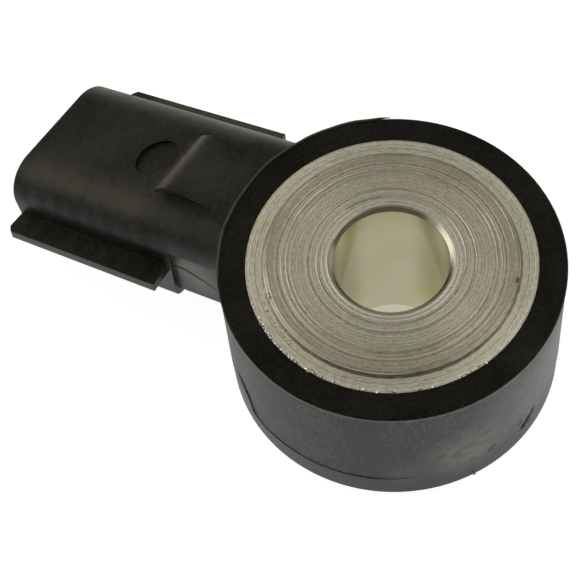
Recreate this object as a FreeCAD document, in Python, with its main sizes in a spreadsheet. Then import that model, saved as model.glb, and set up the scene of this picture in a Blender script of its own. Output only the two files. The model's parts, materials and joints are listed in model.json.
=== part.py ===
"""Engine knock sensor of the flat ring type, with a bolt hole and a two-way connector.

The origin is on the bore axis in the plane of the sleeve's back end, +Z points out of the
wide metal face that is clamped to the engine, and the connector leaves towards -X.
Lengths are in millimetres and angles in degrees.
"""
import FreeCAD, Part
import Sketcher
import math
import os

from FreeCAD import Placement, Rotation, Vector

DRIVING = [
    # the sleeve, a turned steel bush with a wide flange
    ("bore_radius", 4.2),
    ("bore_chamfer", 0.28),
    ("sleeve_radius", 6.0),
    ("sleeve_length", 14.0),
    ("sleeve_end_chamfer", 0.3),
    ("flange_radius", 10.54),
    ("flange_rim_drop", 0.4),
    ("flange_thickness", 2.2),
    ("raised_face_radius", 9.33),
    ("raised_face_edge", 0.22),
    # the moulded drum around the sleeve
    ("face_wall", 2.06),
    ("drum_top_drop", 0.45),
    ("drum_back", 1.05),
    ("drum_rim_chamfer", 0.1),
    ("rim_lip", 0.05),
    ("rim_lip_height", 0.5),
    ("drum_back_chamfer", 0.18),
    ("parting_height", 3.8),
    ("parting_step", 0.06),
    ("back_wall", 1.85),
    # the stack between the flange and the nut
    ("washer_thickness", 0.3),
    ("disc_thickness", 0.2),
    ("piezo_thickness", 2.2),
    ("nut_thickness", 1.75),
    ("spring_height", 0.75),
    ("spring_thickness", 0.45),
    ("tube_wall", 0.3),
    ("stack_clearance", 0.1),
    ("mass_width", 3.2),
    ("washer_inset", 0.1),
    ("disc_inset", 0.3),
    ("piezo_inset", 0.5),
    ("spring_inset", 0.9),
    ("nut_inset", 0.5),
    ("nut_slot_width", 2.0),
    ("nut_slot_depth", 0.5),
    # the connector, in its own tilted frame: along, across and above the wing plane
    ("connector_tilt", 21.1),
    ("wing_plane_drop", 0.31),
    ("shroud_front", 35.12),
    ("mouth_rake", 12.5),
    ("shroud_half_width", 6.35),
    ("shroud_top", 4.16),
    ("shroud_bottom", 4.45),
    ("shroud_corner", 2.9),
    ("shroud_low_corner", 0.8),
    ("shroud_rear", 16.15),
    ("front_edge_round", 0.35),
    ("roof_edge", 1.7),
    ("neck_half_width", 6.0),
    ("neck_bottom", 3.4),
    ("drum_overlap", 0.8),
    ("roof_run_in", 5.9),
    ("wing_half_width", 8.33),
    ("wing_front_back", 0.4),
    ("wing_front_skew", 0.45),
    ("wing_thickness", 0.97),
    ("wing_rear_near", 17.5),
    ("wing_rear_far", 16.9),
    ("wing_rear_slant", 0.25),
    ("wing_corner", 0.45),
    ("socket_depth", 11.7),
    ("socket_half_width", 4.95),
    ("socket_half_height", 3.05),
    ("socket_corner", 1.6),
    ("wedge_foot", 19.78),
    ("wedge_lead", 1.48),
    ("wedge_height", 1.15),
    ("wedge_knee_run", 1.9),
    ("wedge_knee_height", 0.17),
    ("wedge_tail", 12.4),
    ("wedge_sink", 0.5),
    ("wedge_half_width", 2.87),
    ("wedge_round", 3.2),
    ("recess_centre", 21.87),
    ("recess_radius", 1.85),
    ("recess_depth", 0.25),
    # the terminals and the bleed resistor across them
    ("terminal_pitch", 4.0),
    ("terminal_width", 1.5),
    ("terminal_thickness", 0.64),
    ("terminal_length", 28.6),
    ("terminal_bend", 14.6),
    ("foot_gap", 0.7),
    ("tab_width", 1.9),
    ("tab_length", 2.0),
    ("tab_root", 1.0),
    ("resistor_place", 18.0),
    ("resistor_length", 3.4),
    ("resistor_width", 1.6),
    ("resistor_height", 0.6),
    ("resistor_cap", 0.5),
]

DERIVED = [
    ("zero", "0"),
    ("contact_face", "sleeve_length"),
    ("flange_rim", "contact_face - flange_rim_drop"),
    ("flange_bottom", "contact_face - flange_thickness"),
    ("bore_mouth_radius", "bore_radius + bore_chamfer"),
    ("bore_top_chamfer", "contact_face - bore_chamfer"),
    ("raised_edge_radius", "raised_face_radius - raised_face_edge"),
    ("raised_edge_height", "contact_face - raised_face_edge"),
    ("sleeve_end_radius", "sleeve_radius - sleeve_end_chamfer"),
    ("drum_radius", "flange_radius + face_wall"),
    ("drum_top", "contact_face - drum_top_drop"),
    ("drum_rim_radius", "drum_radius - drum_rim_chamfer"),
    ("drum_rim_height", "drum_top - drum_rim_chamfer"),
    ("wall_radius", "drum_radius - rim_lip"),
    ("lip_bottom", "drum_top - rim_lip_height"),
    ("lower_radius", "wall_radius - parting_step"),
    ("drum_back_radius", "lower_radius - drum_back_chamfer"),
    ("drum_back_height", "drum_back + drum_back_chamfer"),
    ("nut_bottom", "drum_back + back_wall"),
    ("washer_upper_bottom", "flange_bottom - washer_thickness"),
    ("disc_upper_bottom", "washer_upper_bottom - disc_thickness"),
    ("piezo_bottom", "disc_upper_bottom - piezo_thickness"),
    ("disc_lower_bottom", "piezo_bottom - disc_thickness"),
    ("washer_lower_bottom", "disc_lower_bottom - washer_thickness"),
    ("nut_top", "nut_bottom + nut_thickness"),
    ("mass_bottom", "nut_top + spring_height"),
    ("tube_radius", "sleeve_radius + tube_wall"),
    ("mass_radius", "tube_radius + mass_width"),
    ("cavity_radius", "mass_radius + stack_clearance"),
    ("washer_radius", "mass_radius - washer_inset"),
    ("disc_radius", "mass_radius - disc_inset"),
    ("piezo_radius", "mass_radius - piezo_inset"),
    ("spring_radius", "mass_radius - spring_inset"),
    ("nut_radius", "mass_radius - nut_inset"),
    ("tab_start", "disc_radius - tab_root"),
    ("tab_reach", "disc_radius + tab_length"),
    ("terminal_foot", "disc_radius + foot_gap"),
    ("nut_slot_bottom", "nut_top - nut_slot_depth"),
    ("nut_slot_half", "nut_slot_width / 2"),
    ("ring_inner_radius", "tube_radius + stack_clearance"),
    ("spring_inner_low", "mass_bottom - spring_thickness"),
    ("spring_outer_high", "nut_top + spring_thickness"),
    ("wing_plane", "drum_top - wing_plane_drop"),
    ("clear_radius", "drum_radius - drum_overlap"),
    ("roof_start", "clear_radius - roof_run_in"),
    ("neck_end", "wedge_foot"),
    ("socket_floor", "shroud_front - socket_depth"),
    ("mouth_lip", "shroud_front + shroud_bottom * tan(mouth_rake * 1deg)"),
    ("wing_rear_near_inner", "wing_rear_near + wing_rear_slant"),
    ("wing_rear_far_inner", "wing_rear_far - wing_rear_slant"),
    ("wing_front", "shroud_front - wing_front_back"),
    ("wing_front_corner", "wing_front - wing_corner"),
    ("wing_front_far", "wing_front - wing_front_skew"),
    ("wing_front_far_corner", "wing_front_far - wing_corner"),
    ("wing_side_corner", "wing_half_width - wing_corner"),
    ("wedge_peak", "wedge_foot - wedge_lead"),
    ("wedge_knee", "wedge_tail + wedge_knee_run"),
    ("wedge_root", "shroud_top - wedge_sink"),
    ("wedge_top", "shroud_top + wedge_height"),
    ("wedge_knee_top", "shroud_top + wedge_knee_height"),
    ("wedge_lead_length", "sqrt(wedge_lead ^ 2 + wedge_height ^ 2)"),
    ("wedge_back_run", "wedge_peak - wedge_knee"),
    ("wedge_back_rise", "wedge_height - wedge_knee_height"),
    ("wedge_back_length", "sqrt(wedge_back_run ^ 2 + wedge_back_rise ^ 2)"),
    ("wedge_half_turn", "tan((atan(wedge_height / wedge_lead)"
     " + atan(wedge_back_rise / wedge_back_run)) / 2)"),
    ("wedge_room", "0.95 * min(wedge_lead_length; wedge_back_length) / wedge_half_turn"),
    ("wedge_crest_radius", "min(wedge_round; wedge_room)"),
    ("terminal_half", "terminal_thickness / 2"),
    ("terminal_offset", "terminal_pitch / 2"),
    ("tab_half", "tab_width / 2"),
]

PLANES = {"XY": "XY_Plane", "XZ": "XZ_Plane", "YZ": "YZ_Plane"}
# what goes through all of the part, in either direction
THROUGH = 80.0

doc = FreeCAD.newDocument("KnockSensor")
sheet = doc.addObject("Spreadsheet::Sheet", "Sizes")


def fill_sheet():
    """Writes the driving sizes and the sizes worked out from them, one named cell each."""
    for row, (alias, value) in enumerate(DRIVING, start=1):
        sheet.set("A%d" % row, alias)
        sheet.set("B%d" % row, str(value))
        sheet.setAlias("B%d" % row, alias)
    first = len(DRIVING) + 1
    for row, (alias, formula) in enumerate(DERIVED, start=first):
        sheet.set("A%d" % row, alias)
        sheet.set("B%d" % row, "=" + formula)
        sheet.setAlias("B%d" % row, alias)
    doc.recompute()


def size(alias):
    """Value of a named cell; a leading minus gives its negative."""
    if alias.startswith("-"):
        return -float(sheet.get(alias[1:]))
    return float(sheet.get(alias))


def bind(thing, prop, alias):
    """Ties a property or a constraint to a named cell, or to its negative."""
    sign = "-" if alias.startswith("-") else ""
    thing.setExpression(prop, "%sSizes.%s" % (sign, alias.lstrip("-")))


def new_body(label):
    body = doc.addObject("PartDesign::Body", label)
    body.Label = label
    return body


def new_sketch(body, name, plane, offset=None):
    """Sketch on one of the body's own origin planes, shifted along its normal by a cell."""
    sketch = body.newObject("Sketcher::SketchObject", name)
    origin_plane = [f for f in body.Origin.OriginFeatures if f.Role == PLANES[plane]][0]
    sketch.AttachmentSupport = [(origin_plane, "")]
    sketch.MapMode = "FlatFace"
    if offset:
        bind(sketch, "AttachmentOffset.Base.z", offset)
    return sketch


def pin_point(sketch, edge, end, across, up):
    """Fixes one point of a sketch at two named sizes."""
    for kind, alias in (("DistanceX", across), ("DistanceY", up)):
        index = sketch.addConstraint(Sketcher.Constraint(kind, -1, 1, edge, end, size(alias)))
        bind(sketch, "Constraints[%d]" % index, alias)


def polygon(body, name, plane, corners, offset=None):
    """Closed outline through corners that are pairs of named sizes."""
    sketch = new_sketch(body, name, plane, offset)
    points = [Vector(size(across), size(up), 0) for across, up in corners]
    count = len(points)
    for start in range(count):
        sketch.addGeometry(Part.LineSegment(points[start], points[(start + 1) % count]), False)
    for start in range(count):
        sketch.addConstraint(Sketcher.Constraint("Coincident", start, 2, (start + 1) % count, 1))
    for start, (across, up) in enumerate(corners):
        pin_point(sketch, start, 1, across, up)
    return sketch


def revolve(body, name, corners):
    """Turned form: the outline holds radius and height pairs."""
    sketch = polygon(body, name + "Profile", "XZ", corners)
    turned = body.newObject("PartDesign::Revolution", name)
    turned.Profile = sketch
    turned.ReferenceAxis = (sketch, ["V_Axis"])
    turned.Angle = 360.0
    return turned


def pad(body, name, sketch, length, midplane=False, reverse=False):
    """Pads a sketch by a named length, or both ways by half of what midplane doubles."""
    feature = body.newObject("PartDesign::Pad", name)
    feature.Profile = sketch
    feature.Midplane = midplane
    feature.Reversed = reverse
    feature.Length = 1.0
    feature.setExpression("Length", length)
    return feature


def pocket(body, name, sketch, length, reverse=False):
    """Cuts a sketch out by a named length."""
    feature = body.newObject("PartDesign::Pocket", name)
    feature.Profile = sketch
    feature.Reversed = reverse
    feature.Length = 1.0
    feature.setExpression("Length", length)
    return feature


def edges_where(shape, test):
    """Names of the edges whose middle point and direction pass a test."""
    names = []
    for number, edge in enumerate(shape.Edges, start=1):
        middle = edge.valueAt((edge.FirstParameter + edge.LastParameter) / 2)
        ends = edge.valueAt(edge.LastParameter) - edge.valueAt(edge.FirstParameter)
        if ends.Length > 1e-6 and test(middle, ends.normalize()):
            names.append("Edge%d" % number)
    return names


def dress(body, kind, name, test, radius):
    """Fillet on the edges of the body's last feature that pass a test, with a named radius."""
    doc.recompute()
    base = body.Tip
    names = edges_where(base.Shape, test)
    if not names:
        raise RuntimeError("no edge found for " + name)
    feature = body.newObject("PartDesign::" + kind, name)
    feature.Base = (base, names)
    feature.Radius = 0.1
    feature.setExpression("Radius", radius)
    return feature


def ring(label, inner, outer, bottom, top):
    """Plain turned ring between two radii and two heights."""
    body = new_body(label)
    revolve(body, label + "_ring", [(inner, bottom), (outer, bottom), (outer, top), (inner, top)])
    return body


def connector_placement(along="zero", above="zero"):
    """Expression for the tilted frame: X along the connector, Y across, Z above the wings."""
    tilt = "Sizes.connector_tilt"
    return (
        "placement(vector("
        "-(Sizes.{a} * cos({t} * 1deg) + Sizes.{h} * sin({t} * 1deg)) * 1mm; 0mm;"
        "(Sizes.wing_plane - Sizes.{a} * sin({t} * 1deg) + Sizes.{h} * cos({t} * 1deg)) * 1mm);"
        "rotation(180; {t}; 0))"
    ).format(a=along, h=above, t=tilt)


def make_sleeve():
    """Steel bush: bore, raised contact face, wide flange and plain shank."""
    body = new_body("sleeve")
    revolve(body, "sleeve_turning", [
        ("bore_mouth_radius", "contact_face"),
        ("raised_edge_radius", "contact_face"),
        ("raised_face_radius", "raised_edge_height"),
        ("raised_face_radius", "flange_rim"),
        ("flange_radius", "flange_rim"),
        ("flange_radius", "flange_bottom"),
        ("sleeve_radius", "flange_bottom"),
        ("sleeve_radius", "sleeve_end_chamfer"),
        ("sleeve_end_radius", "zero"),
        ("bore_radius", "zero"),
        ("bore_radius", "bore_top_chamfer"),
    ])
    return body


def make_stack():
    """The rings clamped between the flange and the nut, from the flange down."""
    ring("insulating_tube", "sleeve_radius", "tube_radius", "washer_lower_bottom", "flange_bottom")
    ring("washer_upper", "ring_inner_radius", "washer_radius", "washer_upper_bottom", "flange_bottom")
    ring("piezo_ring", "ring_inner_radius", "piezo_radius", "piezo_bottom", "disc_upper_bottom")
    ring("washer_lower", "ring_inner_radius", "washer_radius", "washer_lower_bottom",
         "disc_lower_bottom")
    ring("seismic_mass", "tube_radius", "mass_radius", "mass_bottom", "washer_lower_bottom")
    spring = new_body("disc_spring")
    revolve(spring, "spring_cone", [
        ("tube_radius", "spring_inner_low"),
        ("spring_radius", "nut_top"),
        ("spring_radius", "spring_outer_high"),
        ("tube_radius", "mass_bottom"),
    ])


def make_contact_disc(label, bottom, top, side):
    """Thin disc with a tab that reaches towards the connector, off the middle by the pitch."""
    body = ring(label, "ring_inner_radius", "disc_radius", bottom, top)
    sketch = new_sketch(body, label + "_tab_outline", "XY", bottom)
    left, right = -size("tab_reach"), -size("tab_start")
    low = side * size("terminal_offset") - size("tab_half")
    high = low + size("tab_width")
    corners = [Vector(left, low, 0), Vector(right, low, 0), Vector(right, high, 0), Vector(left, high, 0)]
    for start in range(4):
        sketch.addGeometry(Part.LineSegment(corners[start], corners[(start + 1) % 4]), False)
        sketch.addConstraint(Sketcher.Constraint("Block", start))
    pad(body, label + "_tab", sketch, "Sizes.disc_thickness")
    return body


def make_nut():
    """Round clamping nut with two spanner slots across its upper face."""
    body = ring("clamp_nut", "sleeve_radius", "nut_radius", "nut_bottom", "nut_top")
    slots = polygon(body, "nut_slot_outline", "XY", [
        ("-nut_radius", "-nut_slot_half"),
        ("nut_radius", "-nut_slot_half"),
        ("nut_radius", "nut_slot_half"),
        ("-nut_radius", "nut_slot_half"),
    ], offset="nut_bottom")
    pocket(body, "nut_slots", slots, "Sizes.nut_slot_depth", reverse=True)
    return body


def strip_outline(path, half):
    """Outline of a bent strip: the path in a plane, offset by half its thickness each way."""
    sides = []
    for sign in (1, -1):
        side = []
        for index, point in enumerate(path):
            before = (point - path[index - 1]).normalize() if index else None
            after = (path[index + 1] - point).normalize() if index < len(path) - 1 else None
            turns = [Vector(-run.y, run.x, 0) for run in (before, after) if run]
            mean = turns[0] if len(turns) == 1 else (turns[0] + turns[1]).normalize()
            side.append(point + mean * (sign * half / mean.dot(turns[0])))
        sides.append(side)
    return sides[0] + sides[1][::-1]


def make_terminal(label, disc_bottom, side):
    """Bent strip: foot under the disc's tab, a slanting run, then the blade in the socket."""
    body = new_body(label)
    half = size("terminal_half")
    tilt = math.radians(size("connector_tilt"))

    def on_axis(along):
        return Vector(-along * math.cos(tilt), size("wing_plane") - along * math.sin(tilt), 0)

    foot_height = size(disc_bottom) - half
    path = [
        Vector(-size("terminal_foot"), foot_height, 0),
        Vector(-size("tab_reach"), foot_height, 0),
        on_axis(size("terminal_bend")),
        on_axis(size("terminal_length")),
    ]
    sketch = new_sketch(body, label + "_strip_outline", "XZ")
    corners = strip_outline(path, half)
    for start in range(len(corners)):
        after = corners[(start + 1) % len(corners)]
        sketch.addGeometry(Part.LineSegment(corners[start], after), False)
        sketch.addConstraint(Sketcher.Constraint("Block", start))
    shift = "terminal_offset" if side < 0 else "-terminal_offset"
    bind(sketch, "AttachmentOffset.Base.z", shift)
    pad(body, label + "_strip", sketch, "Sizes.terminal_width", midplane=True)
    return body


def make_resistor():
    """Chip resistor that lies across both blades, with a metal cap at each end."""
    body_length = "(Sizes.resistor_length - 2 * Sizes.resistor_cap) * 1mm"
    pieces = [
        ("resistor_body", body_length, "-(Sizes.resistor_length / 2 - Sizes.resistor_cap)"),
        ("resistor_cap_left", "Sizes.resistor_cap * 1mm", "-Sizes.resistor_length / 2"),
        ("resistor_cap_right", "Sizes.resistor_cap * 1mm",
         "(Sizes.resistor_length / 2 - Sizes.resistor_cap)"),
    ]
    for label, length, start in pieces:
        box = doc.addObject("Part::Box", label)
        box.Label = label
        box.setExpression("Length", "Sizes.resistor_width * 1mm")
        box.setExpression("Width", length)
        box.setExpression("Height", "Sizes.resistor_height * 1mm")
        placed = connector_placement("resistor_place", "terminal_half")
        box.setExpression("Placement", placed + " * placement(vector(0mm; (%s) * 1mm; 0mm);"
                                                " rotation(0; 0; 0))" % start)


def make_drum():
    """Moulded ring round the stack, with the step of the mould's parting line outside."""
    body = new_body("drum_form")
    revolve(body, "drum_turning", [
        ("sleeve_radius", "drum_back"),
        ("drum_back_radius", "drum_back"),
        ("lower_radius", "drum_back_height"),
        ("lower_radius", "parting_height"),
        ("wall_radius", "parting_height"),
        ("wall_radius", "lip_bottom"),
        ("drum_radius", "drum_rim_height"),
        ("drum_rim_radius", "drum_top"),
        ("flange_radius", "drum_top"),
        ("flange_radius", "flange_bottom"),
        ("cavity_radius", "flange_bottom"),
        ("cavity_radius", "nut_bottom"),
        ("sleeve_radius", "nut_bottom"),
    ])
    return body


def rear_along(above):
    """Place along the connector where the shroud's upright rear face has a given height."""
    tilt = math.radians(size("connector_tilt"))
    return (size("shroud_rear") - above * math.sin(tilt)) / math.cos(tilt)


def front_along(above):
    """Place along the connector where its raked mouth has a given height."""
    return size("shroud_front") - above * math.tan(math.radians(size("mouth_rake")))


def make_connector():
    """Shroud, roof, neck, wings, wedge and round recess, all in the tilted frame."""
    body = new_body("connector_form")
    body.setExpression("Placement", connector_placement())

    side_view = new_sketch(body, "shroud_side_view", "XZ")
    edge_height, low, high = size("roof_edge"), -size("shroud_bottom"), size("shroud_top")
    outline = [
        Vector(size("roof_start"), edge_height, 0),
        Vector(rear_along(edge_height), edge_height, 0),
        Vector(rear_along(low), low, 0),
        Vector(front_along(low), low, 0),
        Vector(front_along(high), high, 0),
        Vector(size("roof_start"), high, 0),
    ]
    for start in range(len(outline)):
        after = outline[(start + 1) % len(outline)]
        side_view.addGeometry(Part.LineSegment(outline[start], after), False)
        side_view.addConstraint(Sketcher.Constraint("Block", start))
    pad(body, "shroud", side_view, "2 * Sizes.shroud_half_width", midplane=True)

    def long_edge(height):
        def test(middle, direction):
            on_side = abs(abs(middle.y) - size("shroud_half_width")) < 0.01
            return abs(direction.x) > 0.99 and on_side and abs(middle.z - height) < 0.01
        return test

    dress(body, "Fillet", "shroud_corners", long_edge(high), "Sizes.shroud_corner")
    dress(body, "Fillet", "shroud_low_corners", long_edge(low), "Sizes.shroud_low_corner")

    def front_edge(middle, direction):
        return abs(middle.x - front_along(middle.z)) < 0.01

    dress(body, "Fillet", "shroud_front_round", front_edge, "Sizes.front_edge_round")

    neck = polygon(body, "neck_section", "YZ", [
        ("-neck_half_width", "-neck_bottom"),
        ("neck_half_width", "-neck_bottom"),
        ("neck_half_width", "roof_edge"),
        ("-neck_half_width", "roof_edge"),
    ], offset="roof_start")
    pad(body, "neck", neck, "Sizes.neck_end - Sizes.roof_start")

    wings = polygon(body, "wing_outline", "XY", [
        ("wing_rear_near", "wing_half_width"),
        ("wing_front_corner", "wing_half_width"),
        ("wing_front", "wing_side_corner"),
        ("wing_front_far", "-wing_side_corner"),
        ("wing_front_far_corner", "-wing_half_width"),
        ("wing_rear_far", "-wing_half_width"),
        ("wing_rear_far_inner", "-neck_half_width"),
        ("wing_rear_near_inner", "neck_half_width"),
    ])
    # the wings' faces stand along the bore, which is the way the mould opens
    upright = pad(body, "wings", wings, "Sizes.wing_thickness")
    upright.UseCustomVector = True
    upright.AlongSketchNormal = False
    upright.setExpression("Direction.x", "sin(Sizes.connector_tilt * 1deg)")
    upright.setExpression("Direction.y", "0")
    upright.setExpression("Direction.z", "-cos(Sizes.connector_tilt * 1deg)")

    wedge = polygon(body, "wedge_profile", "XZ", [
        ("wedge_foot", "wedge_root"),
        ("wedge_foot", "shroud_top"),
        ("wedge_peak", "wedge_top"),
        ("wedge_knee", "wedge_knee_top"),
        ("wedge_tail", "shroud_top"),
        ("wedge_tail", "wedge_root"),
    ])
    pad(body, "wedge", wedge, "2 * Sizes.wedge_half_width", midplane=True)

    def wedge_crest(middle, direction):
        return abs(direction.y) > 0.99 and abs(middle.z - size("wedge_top")) < 0.01

    dress(body, "Fillet", "wedge_crest_round", wedge_crest, "Sizes.wedge_crest_radius")

    recess = new_sketch(body, "recess_outline", "XY", "shroud_top")
    circle = Part.Circle(Vector(size("recess_centre"), 0, 0), Vector(0, 0, 1), size("recess_radius"))
    recess.addGeometry(circle, False)
    radius = recess.addConstraint(Sketcher.Constraint("Radius", 0, size("recess_radius")))
    bind(recess, "Constraints[%d]" % radius, "recess_radius")
    pin_point(recess, 0, 3, "recess_centre", "zero")
    pocket(body, "recess", recess, "Sizes.recess_depth")

    socket = polygon(body, "socket_section", "YZ", [
        ("-socket_half_width", "-socket_half_height"),
        ("socket_half_width", "-socket_half_height"),
        ("socket_half_width", "socket_half_height"),
        ("-socket_half_width", "socket_half_height"),
    ], offset="mouth_lip")
    pocket(body, "socket", socket, "Sizes.mouth_lip - Sizes.socket_floor")

    def socket_corner(middle, direction):
        in_width = abs(abs(middle.y) - size("socket_half_width")) < 0.01
        in_height = abs(abs(middle.z) - size("socket_half_height")) < 0.01
        return abs(direction.x) > 0.99 and in_width and in_height

    dress(body, "Fillet", "socket_corners", socket_corner, "Sizes.socket_corner")
    return body


def make_housing(drum, connector, moulded_in):
    """Joins the drum and the connector, and leaves room for what is moulded in."""
    core = doc.addObject("Part::Cylinder", "drum_core")
    core.setExpression("Radius", "Sizes.clear_radius * 1mm")
    core.Height = THROUGH
    core.Placement = Placement(Vector(0, 0, -THROUGH / 2), Rotation())
    outer = doc.addObject("Part::Cut", "connector_outside")
    outer.Base, outer.Tool = connector, core
    joined = doc.addObject("Part::Fuse", "housing_form")
    joined.Base, joined.Tool = drum, outer
    inserts = doc.addObject("Part::MultiFuse", "inserts")
    inserts.Shapes = moulded_in
    housing = doc.addObject("Part::Cut", "housing")
    housing.Label = "housing"
    housing.Base, housing.Tool = joined, inserts


NODES = [
    "housing", "sleeve", "insulating_tube", "washer_upper", "contact_disc_upper", "piezo_ring",
    "contact_disc_lower", "washer_lower", "seismic_mass", "disc_spring", "clamp_nut",
    "terminal_left", "terminal_right", "resistor_body", "resistor_cap_left", "resistor_cap_right",
]


def write_parts():
    """Checks every object and every piece, then writes one STEP file for each piece."""
    for thing in doc.Objects:
        if "Invalid" in thing.State or "Error" in thing.State:
            raise RuntimeError("%s failed: %s" % (thing.Name, thing.State))
    os.makedirs("parts", exist_ok=True)
    for label in NODES:
        shape = doc.getObjectsByLabel(label)[0].Shape
        if shape.isNull() or not shape.isValid() or len(shape.Solids) != 1:
            raise RuntimeError("%s is not one valid solid" % label)
        shape.exportStep("parts/%s.step" % label)
        print("%-20s volume %9.2f mm3" % (label, shape.Volume))


fill_sheet()
make_sleeve()
make_stack()
make_nut()
disc_upper = make_contact_disc("contact_disc_upper", "disc_upper_bottom", "washer_upper_bottom", 1)
disc_lower = make_contact_disc("contact_disc_lower", "disc_lower_bottom", "piezo_bottom", -1)
terminal_left = make_terminal("terminal_left", "disc_upper_bottom", 1)
terminal_right = make_terminal("terminal_right", "disc_lower_bottom", -1)
make_resistor()
resistor = [doc.getObject(name) for name in ("resistor_body", "resistor_cap_left", "resistor_cap_right")]
drum_form = make_drum()
connector_form = make_connector()
doc.recompute()
make_housing(drum_form, connector_form,
             [disc_upper, disc_lower, terminal_left, terminal_right] + resistor)
doc.recompute()
write_parts()
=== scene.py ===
# %% [markdown]
# # A flat ring knock sensor
# The sensor is a small engine part: a black moulded drum round a turned steel bush, with a plug
# connector that leaves it at a slant. Its solids come from the frame at their real size, so this
# lesson gives them their finish, the small burrs that moulding and turning leave, the light and
# the camera.

# %% Load the frame
import math
import random

import bmesh
import bpy
from mathutils import Matrix, Vector
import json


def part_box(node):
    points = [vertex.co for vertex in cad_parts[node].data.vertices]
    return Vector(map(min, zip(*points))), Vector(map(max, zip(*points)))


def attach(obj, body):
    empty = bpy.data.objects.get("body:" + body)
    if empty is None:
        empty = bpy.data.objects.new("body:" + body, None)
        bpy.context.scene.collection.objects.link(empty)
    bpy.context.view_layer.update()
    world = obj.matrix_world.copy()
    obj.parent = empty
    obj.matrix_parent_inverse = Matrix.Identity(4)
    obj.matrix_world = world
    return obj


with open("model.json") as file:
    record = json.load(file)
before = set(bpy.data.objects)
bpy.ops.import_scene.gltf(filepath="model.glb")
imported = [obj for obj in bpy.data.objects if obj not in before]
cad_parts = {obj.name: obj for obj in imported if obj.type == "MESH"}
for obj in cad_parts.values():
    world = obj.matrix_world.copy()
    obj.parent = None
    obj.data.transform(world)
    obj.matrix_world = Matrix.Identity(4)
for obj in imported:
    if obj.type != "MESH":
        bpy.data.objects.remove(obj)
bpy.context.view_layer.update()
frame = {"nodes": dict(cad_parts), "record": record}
MM = 0.001

# %% [markdown]
# ## Shared sizes
# Sizes are read from the frame where they can be. The flange of the bush and the drum give the
# radii that the finishes and the burrs need, so nothing is fitted by eye twice.

# %% Sizes from the frame
sleeve_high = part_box("sleeve")[1]
housing_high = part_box("housing")[1]
FLANGE_RADIUS = sleeve_high.x
DRUM_RADIUS = housing_high.x
CONTACT_FACE = sleeve_high.z
DRUM_TOP = housing_high.z
BORE_RADIUS = frame["record"]["mounts"][0]["dims"]["r_mm"] * MM
print("flange radius mm", round(FLANGE_RADIUS / MM, 2))
print("drum radius mm", round(DRUM_RADIUS / MM, 2))

# %% [markdown]
# ## The camera
# A photograph's perspective fixes the distance, and the ellipses of the drum fix the height
# from which it is seen. The camera is built from these: a turn, a height and a roll in degrees,
# a distance, and the point that it aims at.

# %% Camera
VIEW_TURN = 41.6
VIEW_HEIGHT = 59.816
VIEW_ROLL = -7.298
VIEW_DISTANCE = 136.98 * MM
VIEW_AIM = Vector((-5.177, -5.620, CONTACT_FACE / MM - 0.885)) * MM
VIEW_LENS = 119.25  # focal length in mm
NEAREST = 10 * MM


def camera_axes(turn, height, roll):
    """Right, up and backward directions of a camera, from angles in degrees."""
    turn, height, roll = (math.radians(angle) for angle in (turn, height, roll))
    forward = Vector((-math.sin(turn) * math.cos(height), math.cos(turn) * math.cos(height),
                      -math.sin(height)))
    right = Vector((math.cos(turn), math.sin(turn), 0))
    up = right.cross(forward)
    rolled_right = right * math.cos(roll) + up * math.sin(roll)
    rolled_up = up * math.cos(roll) - right * math.sin(roll)
    return rolled_right, rolled_up, -forward


camera_data = bpy.data.cameras.new("camera")
camera_data.lens = VIEW_LENS
camera_data.clip_start = NEAREST
camera = bpy.data.objects.new("camera", camera_data)
bpy.context.scene.collection.objects.link(camera)
axes = camera_axes(VIEW_TURN, VIEW_HEIGHT, VIEW_ROLL)
place = Matrix(axes).transposed().to_4x4()
place.translation = VIEW_AIM + axes[2] * VIEW_DISTANCE
camera.matrix_world = place
bpy.context.scene.camera = camera
print("camera at mm", [round(value / MM, 1) for value in place.translation])

# %% [markdown]
# ## Helpers for finishes
# Colours are written as the hex values that a colour picker shows, and a renderer wants linear
# light, so one function turns them. A second one adds a shader node with its settings, links and
# colour stops, and a third starts a material.

# %% Colour and node helpers


def linear(code):
    """Linear colour from an sRGB hex code."""
    channels = [int(code[place:place + 2], 16) / 255 for place in (1, 3, 5)]
    lit = [c / 12.92 if c <= 0.04045 else ((c + 0.055) / 1.055) ** 2.4 for c in channels]
    return (*lit, 1)


def add_node(tree, kind, inputs=None, stops=(), **settings):
    """Adds a node with its settings; inputs holds plain values, or sockets or nodes to link."""
    node = tree.nodes.new(kind)
    for name, value in settings.items():
        setattr(node, name, value)
    for name, value in (inputs or {}).items():
        if isinstance(value, bpy.types.Node):
            value = next(socket for socket in value.outputs if socket.enabled)
        if isinstance(value, bpy.types.NodeSocket):
            tree.links.new(value, node.inputs[name])
        else:
            node.inputs[name].default_value = value
    for number, (position, code) in enumerate(stops):
        elements = node.color_ramp.elements
        element = elements[number] if number < 2 else elements.new(position)
        element.position, element.color = position, linear(code)
    return node


def new_material(name):
    """Empty material with a Principled surface; returns the material, its tree and the shader."""
    material = bpy.data.materials.new(name)
    material.use_nodes = True
    tree = material.node_tree
    return material, tree, tree.nodes["Principled BSDF"]


print("grey 50% in linear light", round(linear("#808080")[0], 3))

# %% [markdown]
# ## Places on the part
# Stains, scuffs and beads of flash sit at real places. Two functions turn what a ruler would
# measure into a point: degrees round the bore and a height for the drum, and distances along,
# across and above the slanted connector.

# %% Places in mm
CONNECTOR_TILT = math.radians(21.1)
CONNECTOR_HEIGHT = 13.24


def round_bore(reach, azimuth, height):
    """Point in mm, from a distance to the bore axis, degrees round it and a height."""
    turn = math.radians(azimuth)
    return reach * math.cos(turn), reach * math.sin(turn), height


def on_drum(azimuth, height):
    """Point in mm on the drum's side."""
    return round_bore(DRUM_RADIUS / MM, azimuth, height)


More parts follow.
